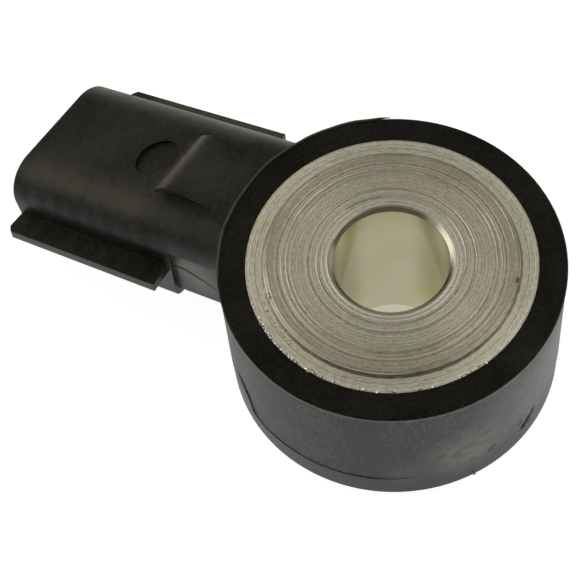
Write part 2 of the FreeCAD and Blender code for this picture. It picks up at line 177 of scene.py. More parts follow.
def on_connector(along, side, up):
    """Point in mm, from distances along, to the near side of and above the connector's line."""
    return (-(along * math.cos(CONNECTOR_TILT) + up * math.sin(CONNECTOR_TILT)), -side,
            CONNECTOR_HEIGHT - along * math.sin(CONNECTOR_TILT) + up * math.cos(CONNECTOR_TILT))


print("tip of the wedge mm", [round(value, 2) for value in on_connector(19.2, 0, 5.0)])

# %% [markdown]
# ## Stains
# A used part is not one colour. A stain here is a soft ball of another colour round a point, laid
# over what is there, and noise breaks it up. The same balls also lay painted highlights and painted
# shade where the cells below say so. Balls in space need no unwrapped surface, and they sit on the
# real place from whichever side the part is seen.

# %% Stains
STAIN_GRAIN = 0.9 * MM
STAIN_CORE = 0.35
WHOLE_FROM = 0.4


def stains_and_painted_light(tree, here, colour, stains, gaps):
    """Lays stains and painted light, each (place in mm, radius in mm, hex colour, strength), over a
    colour.

    A stain is full out to its core and fades to its radius. With gaps of 0 it stays nearly
    whole, and the noise thins it more as gaps grows.
    """
    cloud = add_node(tree, "ShaderNodeTexNoise", {
        "Vector": here, "Scale": 1 / STAIN_GRAIN, "Detail": 4.0,
    })
    for place, radius, code, strength in stains:
        away = add_node(tree, "ShaderNodeVectorMath", {0: here, 1: Vector(place) * MM},
                        operation="DISTANCE").outputs["Value"]
        near = add_node(tree, "ShaderNodeMapRange", {
            "Value": away, "From Min": STAIN_CORE * radius * MM, "From Max": radius * MM,
            "To Min": 1.0, "To Max": 0.0,
        })
        broken = add_node(tree, "ShaderNodeMapRange", {
            "Value": cloud, "From Min": gaps, "From Max": WHOLE_FROM + (1 - WHOLE_FROM) * gaps,
            "To Max": strength,
        })
        mask = add_node(tree, "ShaderNodeMath", {0: near, 1: broken}, operation="MULTIPLY")
        colour = add_node(tree, "ShaderNodeMix", {"Factor": mask, "A": colour, "B": linear(code)},
                          data_type="RGBA")
    return colour


print("stain grain mm", STAIN_GRAIN / MM)

# %% [markdown]
# ## Black moulded nylon
# The housing is most likely glass-filled nylon, moulded in a spark-eroded tool. The eye sees a
# warm black with a broad soft sheen, a fine grain and faint flow clouds. The real grain is about
# 0.05 mm and would not show, so it is drawn three times as coarse. One black with noise on it
# would do from afar. Close up, colour, gloss and roughness change together, so slow clouds and
# fine specks are mixed to one mottle that drives all three.

# %% Nylon: mottled colour
GRAIN = 0.16 * MM
SPECKLE = 0.3 * MM
CLOUD = 5.0 * MM

nylon, tree, shader = new_material("black_moulded_nylon")
here = add_node(tree, "ShaderNodeTexCoord").outputs["Object"]
clouds = add_node(tree, "ShaderNodeTexNoise", {
    "Vector": here, "Scale": 1 / CLOUD, "Detail": 4.0, "Roughness": 0.6,
})
speckle = add_node(tree, "ShaderNodeTexNoise", {
    "Vector": here, "Scale": 1 / SPECKLE, "Detail": 3.0,
})
mottle = add_node(tree, "ShaderNodeMix", {"Factor": 0.45, "A": clouds, "B": speckle})
moulded_tone = add_node(tree, "ShaderNodeValToRGB", {"Fac": mottle}, stops=[
    (0.38, "#100f0c"), (0.5, "#181714"), (0.62, "#22201d"),
])
print("nylon grain mm", GRAIN / MM, "clouds mm", CLOUD / MM)

# %% [markdown]
# ## Dust film on the drum
# The drum's side is greyed by a film of dust that has settled and been wiped, in specks that are
# taller than they are wide. Real specks are finer than a pixel, so they are drawn at 0.32 mm.
# The film could be painted on an unwrapped side, yet the drum is round, so a test of the distance
# to the bore axis finds the side: near enough to the drum's radius counts.

# %% Nylon: dust film
SIDE_BAND = 0.08 * MM
FILM_SPECK = 0.32 * MM
FILM_DRIFT = 4.0 * MM
FLAT_ONLY = (1, 1, 0)
TALLER = (1, 1, 0.4)

flat = add_node(tree, "ShaderNodeVectorMath", {0: here, 1: FLAT_ONLY}, operation="MULTIPLY")
radius = add_node(tree, "ShaderNodeVectorMath", {0: flat}, operation="LENGTH").outputs["Value"]
on_side = add_node(tree, "ShaderNodeMath", {0: radius, 1: DRUM_RADIUS, 2: SIDE_BAND},
                   operation="COMPARE")
upright = add_node(tree, "ShaderNodeVectorMath", {0: here, 1: TALLER}, operation="MULTIPLY")
film = add_node(tree, "ShaderNodeTexNoise", {
    "Vector": upright, "Scale": 1 / FILM_SPECK, "Detail": 5.0, "Roughness": 0.75,
})
drift = add_node(tree, "ShaderNodeTexNoise", {
    "Vector": here, "Scale": 1 / FILM_DRIFT, "Detail": 4.0,
})
dust = add_node(tree, "ShaderNodeMix", {"Factor": 0.3, "A": film, "B": drift})
dusty_tone = add_node(tree, "ShaderNodeValToRGB", {"Fac": dust}, stops=[
    (0.38, "#050504"), (0.5, "#141412"), (0.63, "#40403b"),
])
tone = add_node(tree, "ShaderNodeMix", {"Factor": on_side, "A": moulded_tone, "B": dusty_tone},
                data_type="RGBA")
print("film specks mm", FILM_SPECK / MM)

# %% [markdown]
# ## Greyer places
# The photograph shows the black greyer in some places: along the near band of the connector's roof,
# on the far wing, on the wedge's back and crest, on the roof's far edge and beside the neck. On the
# roof's near band, the wedge's crest and the roof's far edge the grey is a painted highlight, and
# beside the neck it is a painted reflection. On the far wing and the wedge's back it is a plain
# greyer tone. All are drawn in rows of soft spots that join to bands, which stay put from every
# side.

# %% Nylon: stains
# This grey serves as dust on the wedge's back and as painted sheen on the roof's near band.
DUST_AND_SHEEN = "#46453f"
DRUM_GAPS = 0.22
CONNECTOR_GAPS = 0.1

# Paler patches on the drum's side.
DRUM_PALE_PATCHES = [
    (on_drum(-30, 6.2), 4.2, "#5c5c57", 1.0),
    (on_drum(-52, 4.6), 2.4, "#4a4a46", 0.4),
    (on_drum(-8, 8.5), 5.5, "#4a4a47", 0.9),
    (on_drum(8, 8.0), 5.0, "#4a4a47", 0.9),
]
# Painted highlights along the roof's near band, on the wedge's crest and on the roof's far edge,
# and a painted reflection beside the neck.
painted_roof_sheen = [(on_connector(along, 4.4, 4.2), 2.3, DUST_AND_SHEEN, 0.42) for along in range(20, 33, 2)]
far_wing = [(on_connector(along, -8.2, 0), 2.6, "#4a4942", 0.9) for along in range(18, 33, 3)]
wedge_back = [(on_connector(along, 0, 5.2), 3.2, DUST_AND_SHEEN, 0.28) for along in (14.5, 17.5)]
painted_crest_highlight = [(on_connector(19.2, side, 5.0), 1.5, "#57554b", 0.7)
               for side in (-2.2, -0.7, 0.8, 2.3)]
painted_far_edge_highlight = [(on_connector(along, -5.0, 4.1), 1.9, "#4a483f", 0.55) for along in range(16, 36, 2)]
painted_neck_reflection = [(on_connector(15.4, 6.0, -0.6), 2.8, "#62605a", 0.8)]
CONNECTOR_STAINS_AND_LIGHTS = painted_roof_sheen + far_wing + wedge_back + painted_crest_highlight + painted_far_edge_highlight + painted_neck_reflection

colour = stains_and_painted_light(tree, here, tone.outputs["Result"], DRUM_PALE_PATCHES, DRUM_GAPS)
colour = stains_and_painted_light(tree, here, colour.outputs["Result"], CONNECTOR_STAINS_AND_LIGHTS, CONNECTOR_GAPS)
tree.links.new(colour.outputs["Result"], shader.inputs["Base Color"])
print("stains on nylon", len(DRUM_PALE_PATCHES) + len(CONNECTOR_STAINS_AND_LIGHTS))

# %% [markdown]
# ## Gloss and scuffs
# Matt and shiny parts of one moulding differ more in gloss than in colour, so gloss gets its own
# pattern. The photograph shows the drum's side duller on the left and shinier on the right, and the
# flat rim on top duller still. The change of gloss across the drum's side is painted shade on one
# flank and painted sheen on the other, fixed to the drum so that it turns with it. Scuffs are
# ragged spots with hardly any gloss, such as the dark smudges low on the drum. Rows of the same
# ragged spots take gloss off the connector's near edge, near wall and far roof as painted shade.

# %% Nylon: gloss
# Gloss rising towards this direction paints shade on one flank of the drum and sheen on the other.
PAINTED_SHEEN_SIDE = (0.747, 0.665, 0)  # level, and from left to right in the photograph
DULL_SHARE, SHINY_SHARE, RIM_SHARE = 0.52, 1.3, 0.5
RIM_BAND = 0.04 * MM

gloss = add_node(tree, "ShaderNodeMapRange", {
    "Value": mottle, "From Min": 0.38, "From Max": 0.62, "To Min": 0.36, "To Max": 0.6,
})
sideways = add_node(tree, "ShaderNodeVectorMath", {0: here, 1: PAINTED_SHEEN_SIDE},
                    operation="DOT_PRODUCT").outputs["Value"]
painted_sheen_share = add_node(tree, "ShaderNodeMapRange", {
    "Value": sideways, "From Min": -DRUM_RADIUS, "From Max": DRUM_RADIUS,
    "To Min": DULL_SHARE, "To Max": SHINY_SHARE,
})
level = add_node(tree, "ShaderNodeSeparateXYZ", {"Vector": here}).outputs["Z"]
on_rim = add_node(tree, "ShaderNodeMath", {0: level, 1: DRUM_TOP, 2: RIM_BAND}, operation="COMPARE")
rim_share = add_node(tree, "ShaderNodeMix", {"Factor": on_rim, "A": 1.0, "B": RIM_SHARE})
share = add_node(tree, "ShaderNodeMix", {"Factor": on_side, "A": rim_share, "B": painted_sheen_share})
gloss = add_node(tree, "ShaderNodeMath", {0: gloss, 1: share}, operation="MULTIPLY")
print("gloss shares on the side", DULL_SHARE, "to", SHINY_SHARE, "and on the rim", RIM_SHARE)

# %% Nylon: scuffs
RAGGED = 0.9
SCUFF_CORE, SCUFF_END = 0.7, 1.1
SMUDGES = [(-21.8, 4.1, 0.3), (-20.4, 4.35, 0.22), (-6.4, 3.2, 0.45), (-4.9, 3.6, 0.7),
           (-3.2, 4.0, 0.6), (-1.6, 4.5, 0.35), (-8.6, 4.6, 0.3)]  # degrees, height, size in mm
# The rows on the connector's near edge, near wall and far roof take away gloss as painted shade.
shaded_near_edge = [(on_connector(along, 7.4, 0.2), 1.6, 0.3) for along in range(18, 36, 2)]
shaded_near_wall = [(on_connector(along, 6.5, 2.4), 1.9, 0.33) for along in range(18, 36, 2)]
shaded_far_roof = [(on_connector(along, -6.1, 3.4), 1.9, 0.3) for along in range(21, 36, 2)]
SCUFFS_AND_SHADE = [(on_drum(azimuth, height), size, 0.9) for azimuth, height, size in SMUDGES]
SCUFFS_AND_SHADE += shaded_near_edge + shaded_near_wall + shaded_far_roof

for place, size, strength in SCUFFS_AND_SHADE:
    away = add_node(tree, "ShaderNodeVectorMath", {0: here, 1: Vector(place) * MM},
                    operation="DISTANCE").outputs["Value"]
    ragged = add_node(tree, "ShaderNodeMath", {0: speckle, 1: RAGGED * MM, 2: away},
                      operation="MULTIPLY_ADD")
    clear = add_node(tree, "ShaderNodeMapRange", {
        "Value": ragged, "From Min": (SCUFF_CORE * size + RAGGED / 2) * MM,
        "From Max": (SCUFF_END * size + RAGGED / 2) * MM, "To Min": 1.0 - strength,
    })
    gloss = add_node(tree, "ShaderNodeMath", {0: gloss, 1: clear}, operation="MULTIPLY")
tree.links.new(gloss.outputs[0], shader.inputs["Specular IOR Level"])
print("scuffs", len(SCUFFS_AND_SHADE))

# %% [markdown]
# The last part of the nylon is its surface: roughness from the mottle, the eroded grain as a
# bump, and edges that a mould leaves a little round. The Bevel node rounds them for the light
# alone, so the solids stay as they are. Nylon's own IOR is about 1.53. It is lowered to 1.35
# until the sheen is as weak as the photograph shows it on this matt, dusty moulding.

# %% Nylon: surface
BEVEL_SAMPLES = 6
MOULD_EDGE = 0.09 * MM
GRAIN_DEPTH = 0.014 * MM
MATT_IOR = 1.35

rough = add_node(tree, "ShaderNodeMapRange", {
    "Value": mottle, "From Min": 0.3, "From Max": 0.7, "To Min": 0.36, "To Max": 0.5,
})
tree.links.new(rough.outputs["Result"], shader.inputs["Roughness"])
grain = add_node(tree, "ShaderNodeTexNoise", {"Vector": here, "Scale": 1 / GRAIN, "Detail": 2.0})
rounded = add_node(tree, "ShaderNodeBevel", {"Radius": MOULD_EDGE}, samples=BEVEL_SAMPLES)
bump = add_node(tree, "ShaderNodeBump", {
    "Height": grain, "Strength": 0.5, "Distance": GRAIN_DEPTH, "Normal": rounded.outputs["Normal"],
})
tree.links.new(bump.outputs["Normal"], shader.inputs["Normal"])
shader.inputs["IOR"].default_value = MATT_IOR
print("nylon nodes", len(tree.nodes))

# %% [markdown]
# ## Turned steel
# The bush is faced and bored on a lathe, so its wide face carries fine rings round the axis,
# unevenly spaced and unevenly bright. A tool leaves one about every 0.1 mm, and they are drawn
# at 0.16 mm to show. A Wave texture makes rings too, but even ones. Distance from the axis is the
# one number that all rings share, so noise along it gives colour, roughness and bump that agree.
# A second noise also changes slowly round the axis, which breaks the rings into streaks.

# %% Steel: rings
RING_SPACING = 0.16 * MM
LATHE_WOBBLE = 0.05 * MM
WOBBLE_LENGTH = 4.0 * MM
STREAK_TURNS = (18, 18, 18)

steel, tree, shader = new_material("turned_steel")
here = add_node(tree, "ShaderNodeTexCoord").outputs["Object"]
flat = add_node(tree, "ShaderNodeVectorMath", {0: here, 1: FLAT_ONLY}, operation="MULTIPLY")
round_axis = add_node(tree, "ShaderNodeVectorMath", {0: flat}, operation="NORMALIZE")
radius = add_node(tree, "ShaderNodeVectorMath", {0: flat}, operation="LENGTH").outputs["Value"]
wobble = add_node(tree, "ShaderNodeTexNoise", {
    "Vector": here, "Scale": 1 / WOBBLE_LENGTH, "Detail": 2.0,
})
bent = add_node(tree, "ShaderNodeMath", {0: wobble, 1: LATHE_WOBBLE, 2: radius},
                operation="MULTIPLY_ADD")
across = add_node(tree, "ShaderNodeMath", {0: bent, 1: RING_SPACING}, operation="DIVIDE")
along_radius = add_node(tree, "ShaderNodeCombineXYZ", {"Z": across})
fine = add_node(tree, "ShaderNodeTexNoise", {
    "Vector": along_radius, "Scale": 1.0, "Detail": 3.0, "Roughness": 0.65,
})
stretched = add_node(tree, "ShaderNodeVectorMath", {
    0: round_axis, 1: STREAK_TURNS, 2: along_radius,
}, operation="MULTIPLY_ADD")
streaks = add_node(tree, "ShaderNodeTexNoise", {
    "Vector": stretched, "Scale": 1.3, "Detail": 5.0, "Roughness": 0.8,
})
rings = add_node(tree, "ShaderNodeMix", {"Factor": 0.42, "A": fine, "B": streaks})
print("ring spacing mm", RING_SPACING / MM)

# %% [markdown]
# ## Deeper grooves
# A few rings stand out from the rest and shine. They could be cut into the solid, but they are as
# fine as a hair. One colour ramp along the radius holds them all: level ground is mid grey, and a
# narrow peak stands at each. Bump reads it as height, and colour reads it as a painted highlight.

# %% Steel: grooves
GROOVE_HALF = 0.07 * MM
GROUND = "#808080"
GROOVES = [(4.65, "#bdbdbd"), (5.0, "#a0a0a0"), (5.38, "#ffffff"), (6.15, "#cccccc"),
           (7.3, "#b0b0b0"), (7.6, "#ffffff"), (7.95, "#c4c4c4"), (8.4, "#a4a4a4"),
           (9.0, "#e0e0e0"), (9.24, "#ffffff")]  # radius in mm and height as a grey

groove_stops = [(0.0, GROUND)]
for groove_radius, height in GROOVES:
    for offset, code in ((-GROOVE_HALF, GROUND), (0, height), (GROOVE_HALF, GROUND)):
        groove_stops.append(((groove_radius * MM + offset) / FLANGE_RADIUS, code))
inside = add_node(tree, "ShaderNodeMath", {0: bent, 1: FLANGE_RADIUS}, operation="DIVIDE")
grooves = add_node(tree, "ShaderNodeValToRGB", {"Fac": inside}, stops=groove_stops)
print("groove stops", len(groove_stops))

# %% [markdown]
# ## Colour of the face
# The steel is not one grey: it goes warm in patches, and its middle is a little duller than its
# edges. Rings give light and dark and a slow noise gives the patches, mixed half and half, and a
# ramp along the radius is multiplied on to dull the middle. One noise for all of it would move
# rings and patches together. The grooves are then painted white as a painted highlight where the
# patch noise allows.

# %% Steel: colour of the face
PATCH = 3.5 * MM

ring_tone = add_node(tree, "ShaderNodeValToRGB", {"Fac": rings}, stops=[
    (0.42, "#56534c"), (0.48, "#c9c7bf"), (0.55, "#ffffff"),
])
patches = add_node(tree, "ShaderNodeTexNoise", {
    "Vector": here, "Scale": 1 / PATCH, "Detail": 4.0, "Roughness": 0.6,
})
tint = add_node(tree, "ShaderNodeValToRGB", {"Fac": patches}, stops=[
    (0.36, "#d6d6c2"), (0.5, "#dedcd2"), (0.62, "#dcd3c8"),
])
face = add_node(tree, "ShaderNodeMix", {"Factor": 0.5, "A": ring_tone, "B": tint}, data_type="RGBA")
ZONES = [(4.5, "#ffffff"), (5.4, "#e9e7e2"), (8.0, "#e2dfd9"), (8.6, "#d2cdc4"), (9.25, "#dcdad4"),
         (9.4, "#f4f3ef"), (FLANGE_RADIUS / MM, "#ffffff")]  # radius in mm
zones = add_node(tree, "ShaderNodeValToRGB", {"Fac": inside}, stops=[
    (zone_radius * MM / FLANGE_RADIUS, code) for zone_radius, code in ZONES
])
zoned = add_node(tree, "ShaderNodeMix", {
    "Factor": 1.0, "A": face.outputs["Result"], "B": zones,
}, data_type="RGBA", blend_type="MULTIPLY")
# Painted highlight: the grooves' peaks turn the face colour white where the patch noise allows.
lips = add_node(tree, "ShaderNodeMapRange", {"Value": grooves, "From Min": 0.25, "From Max": 0.8})
glint_mask = add_node(tree, "ShaderNodeMapRange", {"Value": patches, "From Min": 0.42, "From Max": 0.56})
painted_groove_glint = add_node(tree, "ShaderNodeMath", {0: lips, 1: glint_mask}, operation="MULTIPLY")
face = add_node(tree, "ShaderNodeMix", {
    "Factor": painted_groove_glint, "A": zoned.outputs["Result"], "B": linear("#ffffff"),
}, data_type="RGBA")
print("zones", len(ZONES))

# %% [markdown]
# ## Bore and chamfer
# The bore is smooth and looks yellow-green in the photograph, darker on two flanks, and the chamfer
# round its mouth is bright. The bore is given a pale yellow-green tint in soft patches, and its two
# darker flanks are painted shade. Part of that colour may be what the bore mirrors, and here it is
# a thin tarnish on the metal. Distance from the axis parts face, chamfer and bore, which needs no
# second material. Four dark ticks, two on either side, are nicks in the face.

# %% Steel: bore, chamfer and nicks
BORE_TINT_CLOUD = 6.0 * MM
BORE_SKIN = 0.04 * MM
CHAMFER = 0.28 * MM
CHAMFER_EDGE = 0.08 * MM
NICK = "#3c3a33"
FACE_HEIGHT = round(CONTACT_FACE / MM, 3)
SHADED_FLANK_HEIGHTS = (3.5, 5.5, 7.5, 9.5)

bore_tint = add_node(tree, "ShaderNodeTexNoise", {
    "Vector": here, "Scale": 1 / BORE_TINT_CLOUD, "Detail": 1.0,
})
bore_tone = add_node(tree, "ShaderNodeValToRGB", {"Fac": bore_tint}, stops=[
    (0.36, "#e0dfcd"), (0.5, "#e5e4dc"), (0.64, "#e6e1c8"),
])
in_bore = add_node(tree, "ShaderNodeMath", {0: radius, 1: BORE_RADIUS + BORE_SKIN},
                   operation="LESS_THAN")
on_face = add_node(tree, "ShaderNodeMapRange", {
    "Value": radius, "From Min": BORE_RADIUS + CHAMFER,
    "From Max": BORE_RADIUS + CHAMFER + CHAMFER_EDGE,
})
surface = add_node(tree, "ShaderNodeMix", {
    "Factor": on_face, "A": linear("#e6e3da"), "B": face.outputs["Result"],
}, data_type="RGBA")
bored = add_node(tree, "ShaderNodeMix", {
    "Factor": in_bore, "A": surface.outputs["Result"], "B": bore_tone,
}, data_type="RGBA")
STEEL_NICKS_AND_SHADE = [((across_x, across_y, FACE_HEIGHT), size, NICK, 0.9)
                for across_x, across_y, size in ((-5.5, -7.35, 0.2), (-5.72, -7.15, 0.15),
                                                 (8.42, 3.55, 0.2), (8.5, 3.35, 0.16))]
# The two spots at each height in the bore are painted shade on its flanks.
for height in SHADED_FLANK_HEIGHTS:
    STEEL_NICKS_AND_SHADE += [((-4.0, -1.4, height), 3.5, "#98957f", 0.55),
                     ((2.0, 3.8, height), 3.3, "#a8a275", 0.55)]
nicked_and_shaded = stains_and_painted_light(tree, here, bored.outputs["Result"], STEEL_NICKS_AND_SHADE, 0)
tree.links.new(nicked_and_shaded.outputs["Result"], shader.inputs["Base Color"])
print("stains on steel", len(STEEL_NICKS_AND_SHADE))

# %% [markdown]
# Fine rings spread a reflection across them and not along them, so the light fans out from the
# bore. Bump alone would need rings finer than a pixel for that. Anisotropy does it, with a
# tangent that runs round the axis.

# %% Steel: surface
TURNED_EDGE = 0.08 * MM
RING_DEPTH = 0.075 * MM
GROOVE_SHARE = 1.6
CHAMFER_ROUGHNESS = 0.17

rough = add_node(tree, "ShaderNodeMapRange", {
    "Value": rings, "From Min": 0.3, "From Max": 0.7, "To Min": 0.4, "To Max": 0.24,
})
smooth = add_node(tree, "ShaderNodeMix", {"Factor": on_face, "A": CHAMFER_ROUGHNESS, "B": rough})
tree.links.new(smooth.outputs[0], shader.inputs["Roughness"])
height = add_node(tree, "ShaderNodeMath", {0: grooves, 1: GROOVE_SHARE, 2: rings},
                  operation="MULTIPLY_ADD")
raised = add_node(tree, "ShaderNodeMath", {0: height, 1: on_face}, operation="MULTIPLY")
rounded = add_node(tree, "ShaderNodeBevel", {"Radius": TURNED_EDGE}, samples=BEVEL_SAMPLES)
bump = add_node(tree, "ShaderNodeBump", {
    "Height": raised, "Strength": 1.0, "Distance": RING_DEPTH, "Normal": rounded.outputs["Normal"],
})
tree.links.new(bump.outputs["Normal"], shader.inputs["Normal"])
turning = add_node(tree, "ShaderNodeTangent", direction_type="RADIAL", axis="Z")
tree.links.new(turning.outputs["Tangent"], shader.inputs["Tangent"])
shader.inputs["Anisotropic"].default_value = 0.75
shader.inputs["Anisotropic Rotation"].default_value = 0.25
shader.inputs["Metallic"].default_value = 1.0
print("steel nodes", len(tree.nodes))

# %% [markdown]
# ## Plain finishes
# The blades in the socket are tin-plated, and the ring stack inside is never seen, yet each
# piece gets the finish of its own material, so a cut through the part reads well. These finishes
# need no places of their own, so one function serves them all: clouds at the given spacing move
# the colour and the gloss. Torn steel and worn nylon are for the burrs and the rim further on.

# %% Plain finishes
SHADE = 0.8
GLOSS_CHANGE = 0.08


def plain_finish(name, code, metallic, rough, spacing):
    """Finish of one base colour with a faint cloudy change of colour and gloss."""
    material, tree, shader = new_material(name)
    here = add_node(tree, "ShaderNodeTexCoord").outputs["Object"]
    clouds = add_node(tree, "ShaderNodeTexNoise", {
        "Vector": here, "Scale": 1 / spacing, "Detail": 3.0,
    })
    shaded = [int(int(code[place:place + 2], 16) * SHADE) for place in (1, 3, 5)]
    darker = "#%02x%02x%02x" % tuple(shaded)
    colour = add_node(tree, "ShaderNodeValToRGB", {"Fac": clouds}, stops=[
        (0.35, darker), (0.65, code),
    ])
    tree.links.new(colour.outputs["Color"], shader.inputs["Base Color"])
    change = add_node(tree, "ShaderNodeMapRange", {
        "Value": clouds, "To Min": rough - GLOSS_CHANGE, "To Max": rough + GLOSS_CHANGE,
    })
    tree.links.new(change.outputs["Result"], shader.inputs["Roughness"])
    shader.inputs["Metallic"].default_value = metallic
    return material


# Electroplated tin is pale with a soft shine.
tin_plate = plain_finish("tin_plate", "#c8c6be", 1.0, 0.3, 0.8 * MM)
# Pressed and tempered steel is a darker, even grey.
spring_steel = plain_finish("spring_steel", "#8e8c88", 1.0, 0.35, 1.5 * MM)
# Sintered ceramic is matt and sandy.
fired_ceramic = plain_finish("fired_ceramic", "#b3a68c", 0.0, 0.7, 0.6 * MM)
# Cast polyimide film is amber and smooth.
polyimide_film = plain_finish("polyimide_film", "#a5722a", 0.0, 0.3, 2.0 * MM)
# The glaze on a chip resistor is black glass.
chip_glaze = plain_finish("chip_glaze", "#17181b", 0.0, 0.25, 0.4 * MM)
# Freshly torn steel glints white.
torn_steel = plain_finish("torn_steel", "#ffffff", 1.0, 0.25, 0.3 * MM)
# Rubbed nylon turns grey and matt, and on the rim its paler grey is partly a painted highlight.
worn_nylon_and_sheen = plain_finish("worn_nylon_and_sheen", "#504d45", 0.0, 0.6, 0.7 * MM)
print("materials", len(bpy.data.materials))

# %% Finishes on the solids
FINISHES = {
    "housing": nylon,
    "sleeve": steel,
    "insulating_tube": polyimide_film,
    "washer_upper": polyimide_film,
    "washer_lower": polyimide_film,
    "contact_disc_upper": tin_plate,
    "contact_disc_lower": tin_plate,
    "terminal_left": tin_plate,
    "terminal_right": tin_plate,
    "resistor_cap_left": tin_plate,
    "resistor_cap_right": tin_plate,
    "piezo_ring": fired_ceramic,
    "resistor_body": chip_glaze,
    "seismic_mass": spring_steel,
    "disc_spring": spring_steel,
    "clamp_nut": spring_steel,
}
for name, finish in FINISHES.items():
    for material_slot in frame["nodes"][name].material_slots:
        material_slot.material = finish
print("finished", len(FINISHES), "pieces")

# %% [markdown]
# ## Parting lines
# Where the halves of a mould meet, a hair of plastic is squeezed out and left standing. It is far
# too thin for the solids, so it is a fine round bead on a smooth curve, made a mesh at once. The
# ends taper, because the halves close tighter there.

# %% Bead of flash
END_SHARES = ((0, 0.2), (-1, 0.15), (1, 0.7), (-2, 0.5))


def flash_line(name, points, thickness, finish):
    """Bead of moulding flash along points in mm."""
    line = bpy.data.curves.new(name, "CURVE")
    line.dimensions = "3D"
    line.bevel_depth = thickness
    line.bevel_resolution = 2
    line.use_fill_caps = True
    spline = line.splines.new("NURBS")
    spline.points.add(len(points) - 1)
    for point, place in zip(spline.points, points):
        point.co = (*(Vector(place) * MM), 1)
    for number, share in END_SHARES:
        spline.points[number].radius = share
    spline.order_u = 3
    spline.use_endpoint_u = True
    spline.resolution_u = 8
    holder = bpy.data.objects.new(name + "_line", line)
    mesh = bpy.data.meshes.new_from_object(holder)
    bpy.data.objects.remove(holder)
    mesh.materials.clear()
    mesh.materials.append(finish)
    flash = bpy.data.objects.new(name, mesh)
    bpy.context.scene.collection.objects.link(flash)
    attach(flash, "root")
    print(name, "faces", len(mesh.polygons))


print("bead end shares", END_SHARES)

# %% [markdown]
# On the drum the line runs low, rises a trace to the front and climbs near the connector, where
# the mould's halves step. On the neck it bends down from the wing's end to the drum.

# %% Flash on the parting lines
FLASH_RADIUS = 0.045 * MM
LINE_HEIGHT = 3.56
LINE_RISE = 0.0035
RUN_START, RUN_END = -104, -40
CLIMB = [(-122, 6.9), (-120, 6.6), (-116, 5.9), (-113.8, 5.2), (-112.8, 4.1), (-111, 3.66),
         (-107, LINE_HEIGHT)]  # degrees and height in mm
LEVEL_RUN = [(azimuth, LINE_HEIGHT + (azimuth - RUN_START) * LINE_RISE)
             for azimuth in range(RUN_START, RUN_END, 8)]
drum_points = [on_drum(azimuth, height) for azimuth, height in CLIMB + LEVEL_RUN]
flash_line("drum_parting_flash", drum_points, FLASH_RADIUS, nylon)

NECK_SIDE = 6.0
NECK_LINE = [(18.0, -0.28), (17.2, -0.26), (16.3, -0.25), (15.3, -0.7), (14.1, -1.28),
             (13.3, -1.85)]  # along and up in mm
neck_points = [on_connector(along, NECK_SIDE, up) for along, up in NECK_LINE]
flash_line("neck_parting_flash", neck_points, 1.5 * FLASH_RADIUS, nylon)
print("points along the drum and the neck", len(drum_points), len(neck_points))

# %% [markdown]
# Where the drum stands over the neck, its rim is worn to an uneven lighter edge, whose paler colour
# is partly a painted highlight. The same bead serves, on points that dice push in and out, with a
# fixed seed so that every run agrees.

# %% Worn rim over the neck
RIM_BEAD = 0.11 * MM
RIM_INSET = 0.02
RIM_RISE = 0.02
WORN_IN, WORN_OUT = 0.05, 0.04

dice = random.Random(2)
rim_points = []
for azimuth in range(124, 226, 3):
    reach = DRUM_RADIUS / MM - RIM_INSET + dice.uniform(-WORN_IN, WORN_OUT)
    rim_points.append(round_bore(reach, azimuth, DRUM_TOP / MM + RIM_RISE))
# The rim bead's paler colour is worn nylon and, in part, a painted highlight on the rim's edge.
flash_line("drum_rim_flash", rim_points, RIM_BEAD, worn_nylon_and_sheen)
print("points along the worn rim", len(rim_points))

# %% [markdown]
# ## Burrs and torn edges
# The tool that faces the flange rolls tiny flakes of steel over its rim, and the mould leaves a
# nub or two of plastic. Each is a small ball of few faces, pressed flat and pushed about by
# dice with a fixed seed. They are meshes and not bump, because they break the outline.

# %% Flakes and where they lie
FLAKE_SHAPE = Matrix.Diagonal((1.0, 0.6, 0.35, 1.0))
LEAST_SHARE, MOST_LEAN, TEAR = 0.4, 0.7, 0.25


def scatter_flakes(name, spots, largest, finish, seed):
    """Small torn flakes at spots in mm, all in one mesh."""
    dice = random.Random(seed)
    shape = bmesh.new()
    for spot in spots:
        size = largest * MM * dice.uniform(LEAST_SHARE, 1.0)
        spin = Matrix.Rotation(dice.uniform(0, math.tau), 4, "Z")
        lean = Matrix.Rotation(dice.uniform(-MOST_LEAN, MOST_LEAN), 4, "X")
        made = bmesh.ops.create_icosphere(
            shape, subdivisions=1, radius=size,
            matrix=Matrix.Translation(Vector(spot) * MM) @ spin @ lean @ FLAKE_SHAPE)
        for vertex in made["verts"]:
            vertex.co += Vector([dice.uniform(-TEAR, TEAR) * size for axis in range(3)])
    mesh = bpy.data.meshes.new(name)
    shape.to_mesh(mesh)
    shape.free()
    mesh.materials.append(finish)
    flakes = bpy.data.objects.new(name, mesh)
    bpy.context.scene.collection.objects.link(flakes)
    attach(flakes, "root")
    print(name, "flakes", len(spots))


def ring_spots(count, reach, low_azimuth, high_azimuth, height, spread, seed):
    """Points in mm strewn along an arc round the bore axis."""
    dice = random.Random(seed)
    spots = []
    for number in range(count):
        azimuth = dice.uniform(low_azimuth, high_azimuth)
        spots.append(round_bore(reach + dice.uniform(-spread, spread), azimuth, height))
    return spots


print("flake shares", [round(FLAKE_SHAPE[axis][axis], 2) for axis in range(3)])

# %% [markdown]
# The burrs are thickest on the flange's near left, thin out to the right, and one larger clump
# stands in front. A second row lies along the step of the raised face. One row with even gaps
# would look like a seam, so each run has its own count, arc, spread and seed.

# %% Burrs
BURR_HEIGHT = CONTACT_FACE / MM - 0.36
STEP_RADIUS = 9.68
# flakes, mm in from the rim, degrees from and to, mm up, spread in mm, seed
RIM_RUNS = [(60, 0.1, -132, -84, 0, 0.05, 3), (15, 0.08, -84, -12, 0, 0.03, 4),
            (5, 0.12, -89, -87, 0.08, 0.12, 6)]

